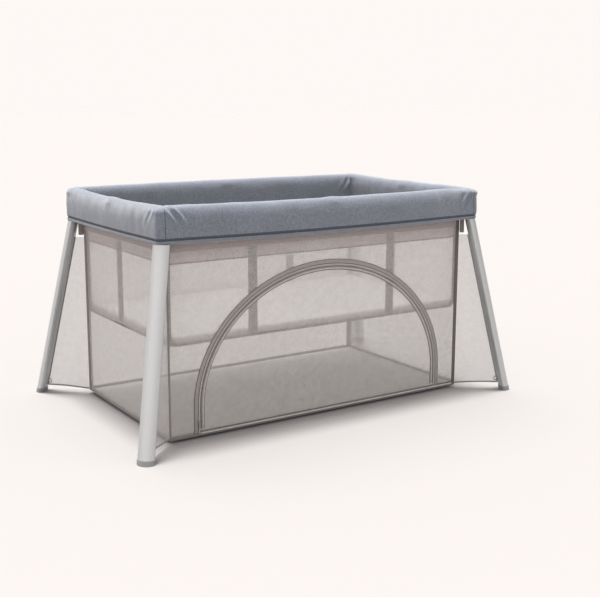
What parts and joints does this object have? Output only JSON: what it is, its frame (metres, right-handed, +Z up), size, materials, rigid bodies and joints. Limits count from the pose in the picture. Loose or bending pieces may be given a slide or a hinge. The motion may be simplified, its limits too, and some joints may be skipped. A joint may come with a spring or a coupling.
{
  "type": "playpen",
  "caption": "Folding travel playpen with splayed legs, padded rail cover, mesh walls, zipped arch door and a hung bassinet with a mattress.",
  "frame": {"origin": "bottom centre of the open playpen, on the floor between the feet", "axes": "+X to the right along the length, -Y the front with the arch door, +Z up"},
  "size_m": [1.3112, 0.832, 0.658],
  "materials": {
    "cover_fabric": "melange woven",
    "corner_plastic": "matt",
    "leg_alloy": "satin",
    "foot_plastic": "matt",
    "rail_steel": "satin",
    "hinge_plastic": "matt",
    "button_plastic": "matt",
    "mesh_fabric": "open mesh",
    "bassinet_fabric": "open mesh with woven bands",
    "floor_fabric": "plain woven",
    "mattress_fabric": "quilted",
    "zip_metal": "polished"
  },
  "bodies": {
    "corner_front_left": {"corner_bracket_front_left": "corner_plastic", "leg_front_left": "leg_alloy", "foot_front_left": "foot_plastic", "corner_pad_front_left": "cover_fabric", "wing_front_left": "mesh_fabric", "wall_front": "mesh_fabric", "wall_left": "mesh_fabric", "bassinet": "bassinet_fabric"},
    "corner_front_right": {"corner_bracket_front_right": "corner_plastic", "leg_front_right": "leg_alloy", "foot_front_right": "foot_plastic", "corner_pad_front_right": "cover_fabric", "wing_front_right": "mesh_fabric", "wall_right": "mesh_fabric"},
    "corner_back_left": {"corner_bracket_back_left": "corner_plastic", "leg_back_left": "leg_alloy", "foot_back_left": "foot_plastic", "corner_pad_back_left": "cover_fabric", "wing_back_left": "mesh_fabric", "wall_back": "mesh_fabric"},
    "corner_back_right": {"corner_bracket_back_right": "corner_plastic", "leg_back_right": "leg_alloy", "foot_back_right": "foot_plastic", "corner_pad_back_right": "cover_fabric", "wing_back_right": "mesh_fabric"},
    "front_rail_left": {"front_rail_tube_left": "rail_steel", "front_rail_pad_left": "cover_fabric", "front_hinge_yoke": "hinge_plastic"},
    "front_rail_right": {"front_rail_tube_right": "rail_steel", "front_rail_pad_right": "cover_fabric", "front_hinge_tongue": "hinge_plastic"},
    "front_button": {"front_release_button": "button_plastic"},
    "back_rail_left": {"back_rail_tube_left": "rail_steel", "back_rail_pad_left": "cover_fabric", "back_hinge_yoke": "hinge_plastic"},
    "back_rail_right": {"back_rail_tube_right": "rail_steel", "back_rail_pad_right": "cover_fabric", "back_hinge_tongue": "hinge_plastic"},
    "back_button": {"back_release_button": "button_plastic"},
    "left_rail_front": {"left_rail_tube_front": "rail_steel", "left_rail_pad_front": "cover_fabric", "left_hinge_yoke": "hinge_plastic"},
    "left_rail_back": {"left_rail_tube_back": "rail_steel", "left_rail_pad_back": "cover_fabric", "left_hinge_tongue": "hinge_plastic"},
    "left_button": {"left_release_button": "button_plastic"},
    "right_rail_front": {"right_rail_tube_front": "rail_steel", "right_rail_pad_front": "cover_fabric", "right_hinge_yoke": "hinge_plastic"},
    "right_rail_back": {"right_rail_tube_back": "rail_steel", "right_rail_pad_back": "cover_fabric", "right_hinge_tongue": "hinge_plastic"},
    "right_button": {"right_release_button": "button_plastic"},
    "door": {"door_panel": "mesh_fabric"},
    "slider": {"zip_slider": "zip_metal"},
    "floor_front": {"floor_front": "floor_fabric"},
    "floor_back": {"floor_back": "floor_fabric"},
    "mattress_front": {"mattress_front": "mattress_fabric"},
    "mattress_back": {"mattress_back": "mattress_fabric"}
  },
  "joints": [
    {"name": "fold", "type": "hinge", "parent": "corner_front_left", "child": "front_rail_left", "pos_m": [-0.455, -0.31, 0.6], "axis": [0, 1, 0], "range_deg": [0, 85], "deforming": ["corner_pad_front_left", "wing_front_left", "corner_pad_front_right", "wing_front_right", "corner_pad_back_left", "wing_back_left", "corner_pad_back_right", "wing_back_right", "front_rail_pad_left", "front_rail_pad_right", "back_rail_pad_left", "back_rail_pad_right", "left_rail_pad_front", "left_rail_pad_back", "right_rail_pad_front", "right_rail_pad_back", "wall_front", "wall_left", "wall_right", "wall_back", "bassinet", "door_panel", "zip_slider", "floor_front", "floor_back", "mattress_front", "mattress_back"]},
    {"name": "front_centre", "type": "hinge", "parent": "front_rail_left", "child": "front_rail_right", "pos_m": [0, -0.31, 0.64], "axis": [0, 1, 0], "range_deg": [-170, 0]},
    {"name": "front_right_corner", "type": "hinge", "parent": "front_rail_right", "child": "corner_front_right", "pos_m": [0.455, -0.31, 0.6], "axis": [0, 1, 0], "range_deg": [0, 85]},
    {"name": "left_front_corner", "type": "hinge", "parent": "corner_front_left", "child": "left_rail_front", "pos_m": [-0.535, -0.23, 0.6], "axis": [-1, 0, 0], "range_deg": [0, 85]},
    {"name": "left_centre", "type": "hinge", "parent": "left_rail_front", "child": "left_rail_back", "pos_m": [-0.535, 0, 0.64], "axis": [-1, 0, 0], "range_deg": [-170, 0]},
    {"name": "left_back_corner", "type": "hinge", "parent": "left_rail_back", "child": "corner_back_left", "pos_m": [-0.535, 0.23, 0.6], "axis": [-1, 0, 0], "range_deg": [0, 85]},
    {"name": "right_front_corner", "type": "hinge", "parent": "corner_front_right", "child": "right_rail_front", "pos_m": [0.535, -0.23, 0.6], "axis": [-1, 0, 0], "range_deg": [0, 85]},
    {"name": "right_centre", "type": "hinge", "parent": "right_rail_front", "child": "right_rail_back", "pos_m": [0.535, 0, 0.64], "axis": [-1, 0, 0], "range_deg": [-170, 0]},
    {"name": "right_back_corner", "type": "hinge", "parent": "right_rail_back", "child": "corner_back_right", "pos_m": [0.535, 0.23, 0.6], "axis": [-1, 0, 0], "range_deg": [0, 85]},
    {"name": "back_left_corner", "type": "hinge", "parent": "corner_back_left", "child": "back_rail_left", "pos_m": [-0.455, 0.31, 0.6], "axis": [0, 1, 0], "range_deg": [0, 85]},
    {"name": "back_right_corner", "type": "hinge", "parent": "corner_back_right", "child": "back_rail_right", "pos_m": [0.455, 0.31, 0.6], "axis": [0, -1, 0], "range_deg": [0, 85]},
    {"name": "floor_front_fold", "type": "hinge", "parent": "corner_front_left", "child": "floor_front", "pos_m": [0, -0.286, 0.012], "axis": [1, 0, 0], "range_deg": [0, 80]},
    {"name": "floor_back_fold", "type": "hinge", "parent": "corner_back_left", "child": "floor_back", "pos_m": [0, 0.286, 0.012], "axis": [-1, 0, 0], "range_deg": [0, 80]},
    {"name": "mattress_front_fold", "type": "hinge", "parent": "corner_front_left", "child": "mattress_front", "pos_m": [0, -0.278, 0.295], "axis": [1, 0, 0], "range_deg": [0, 84]},
    {"name": "mattress_back_fold", "type": "hinge", "parent": "corner_back_left", "child": "mattress_back", "pos_m": [0, 0.278, 0.295], "axis": [-1, 0, 0], "range_deg": [0, 84]},
    {"name": "door_hinge", "type": "hinge", "parent": "corner_front_left", "child": "door", "pos_m": [0, -0.28825, 0.03], "axis": [1, 0, 0], "range_deg": [0, 90]},
    {"name": "zip_slide", "type": "slide", "parent": "corner_front_left", "child": "slider", "axis": [0, 0, 1], "range_m": [0, 0.05]},
    {"name": "front_button_press", "type": "slide", "parent": "front_rail_left", "child": "front_button", "axis": [0, 0, 1], "range_m": [0, 0.004], "stiffness_N_per_m": 400},
    {"name": "back_button_press", "type": "slide", "parent": "back_rail_left", "child": "back_button", "axis": [0, 0, 1], "range_m": [0, 0.004], "stiffness_N_per_m": 400},
    {"name": "left_button_press", "type": "slide", "parent": "left_rail_front", "child": "left_button", "axis": [0, 0, 1], "range_m": [0, 0.004], "stiffness_N_per_m": 400},
    {"name": "right_button_press", "type": "slide", "parent": "right_rail_front", "child": "right_button", "axis": [0, 0, 1], "range_m": [0, 0.004], "stiffness_N_per_m": 400}
  ],
  "couplings": [
    {"joint": "front_centre", "follows": "fold", "ratio": -2},
    {"joint": "front_right_corner", "follows": "fold", "ratio": 1},
    {"joint": "left_front_corner", "follows": "fold", "ratio": 1},
    {"joint": "left_centre", "follows": "fold", "ratio": -2},
    {"joint": "left_back_corner", "follows": "fold", "ratio": 1},
    {"joint": "right_front_corner", "follows": "fold", "ratio": 1},
    {"joint": "right_centre", "follows": "fold", "ratio": -2},
    {"joint": "right_back_corner", "follows": "fold", "ratio": 1},
    {"joint": "back_left_corner", "follows": "fold", "ratio": 1},
    {"joint": "back_right_corner", "follows": "fold", "ratio": 1},
    {"joint": "floor_front_fold", "follows": "fold", "ratio": 0.94118},
    {"joint": "floor_back_fold", "follows": "fold", "ratio": 0.94118},
    {"joint": "mattress_front_fold", "follows": "fold", "ratio": 0.98824},
    {"joint": "mattress_back_fold", "follows": "fold", "ratio": 0.98824}
  ]
}
